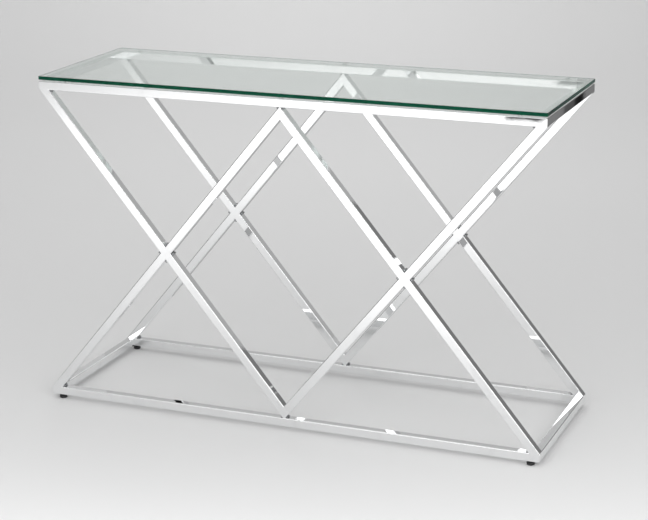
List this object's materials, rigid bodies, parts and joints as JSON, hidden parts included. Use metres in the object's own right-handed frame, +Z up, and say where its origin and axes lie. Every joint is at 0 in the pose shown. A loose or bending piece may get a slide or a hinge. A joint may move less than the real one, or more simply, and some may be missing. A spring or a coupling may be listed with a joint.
{
  "type": "console table",
  "caption": "Narrow console table: clear glass sheet resting on a mirror-polished square-tube frame, with crossed braces along its front and back and small levelling feet.",
  "frame": {"origin": "on the floor, under the middle of the glass top", "axes": "+X along the table's length, +Y across it from front to back, +Z up; front and back are alike"},
  "size_m": [1.2, 0.4, 0.78],
  "materials": {
    "polished_tube": "mirror-polished steel",
    "top_glass": "clear float glass with a green tint through its edges, polished arrises",
    "bumpers": "clear silicone, slightly cloudy",
    "foot_pads": "black moulded nylon, fine grain",
    "foot_studs": "black oxide steel, lightly oiled",
    "foot_inserts": "bright zinc plate"
  },
  "bodies": {
    "frame": {"top_rail_front": "polished_tube", "top_rail_back": "polished_tube", "top_rail_left": "polished_tube", "top_rail_right": "polished_tube", "bottom_rail_front": "polished_tube", "bottom_rail_back": "polished_tube", "bottom_rail_left": "polished_tube", "bottom_rail_right": "polished_tube", "brace_front_left_through": "polished_tube", "brace_front_left_lower": "polished_tube", "brace_front_left_upper": "polished_tube", "brace_front_right_through": "polished_tube", "brace_front_right_lower": "polished_tube", "brace_front_right_upper": "polished_tube", "brace_back_left_through": "polished_tube", "brace_back_left_lower": "polished_tube", "brace_back_left_upper": "polished_tube", "brace_back_right_through": "polished_tube", "brace_back_right_lower": "polished_tube", "brace_back_right_upper": "polished_tube", "glass_bumper_front_1": "bumpers", "glass_bumper_front_2": "bumpers", "glass_bumper_front_3": "bumpers", "glass_bumper_back_1": "bumpers", "glass_bumper_back_2": "bumpers", "glass_bumper_back_3": "bumpers", "foot_insert_front_left": "foot_inserts", "foot_insert_front_right": "foot_inserts", "foot_insert_back_left": "foot_inserts", "foot_insert_back_right": "foot_inserts"},
    "glass": {"glass_top": "top_glass"},
    "pad_front_left": {"foot_pad_front_left": "foot_pads"},
    "stud_front_left": {"foot_stud_front_left": "foot_studs"},
    "pad_front_right": {"foot_pad_front_right": "foot_pads"},
    "stud_front_right": {"foot_stud_front_right": "foot_studs"},
    "pad_back_left": {"foot_pad_back_left": "foot_pads"},
    "stud_back_left": {"foot_stud_back_left": "foot_studs"},
    "pad_back_right": {"foot_pad_back_right": "foot_pads"},
    "stud_back_right": {"foot_stud_back_right": "foot_studs"}
  },
  "joints": [
    {"name": "glass_lift", "type": "slide", "parent": "frame", "child": "glass", "axis": [0, 0, 1], "range_m": [0, 0.06]},
    {"name": "level_front_left", "type": "slide", "parent": "frame", "child": "pad_front_left", "axis": [0, 0, 1], "range_m": [-0.00625, 0]},
    {"name": "screw_front_left", "type": "hinge", "parent": "pad_front_left", "child": "stud_front_left", "pos_m": [-0.577, -0.189, 0], "axis": [0, 0, 1], "range_deg": [-1805, 5]},
    {"name": "level_front_right", "type": "slide", "parent": "frame", "child": "pad_front_right", "axis": [0, 0, 1], "range_m": [-0.00625, 0]},
    {"name": "screw_front_right", "type": "hinge", "parent": "pad_front_right", "child": "stud_front_right", "pos_m": [0.577, -0.189, 0], "axis": [0, 0, 1], "range_deg": [-1805, 5]},
    {"name": "level_back_left", "type": "slide", "parent": "frame", "child": "pad_back_left", "axis": [0, 0, 1], "range_m": [-0.00625, 0]},
    {"name": "screw_back_left", "type": "hinge", "parent": "pad_back_left", "child": "stud_back_left", "pos_m": [-0.577, 0.189, 0], "axis": [0, 0, 1], "range_deg": [-1805, 5]},
    {"name": "level_back_right", "type": "slide", "parent": "frame", "child": "pad_back_right", "axis": [0, 0, 1], "range_m": [-0.00625, 0]},
    {"name": "screw_back_right", "type": "hinge", "parent": "pad_back_right", "child": "stud_back_right", "pos_m": [0.577, 0.189, 0], "axis": [0, 0, 1], "range_deg": [-1805, 5]}
  ],
  "couplings": [
    {"joint": "screw_front_left", "follows": "level_front_left", "rad_per_m": 5026.5},
    {"joint": "screw_front_right", "follows": "level_front_right", "rad_per_m": 5026.5},
    {"joint": "screw_back_left", "follows": "level_back_left", "rad_per_m": 5026.5},
    {"joint": "screw_back_right", "follows": "level_back_right", "rad_per_m": 5026.5}
  ]
}
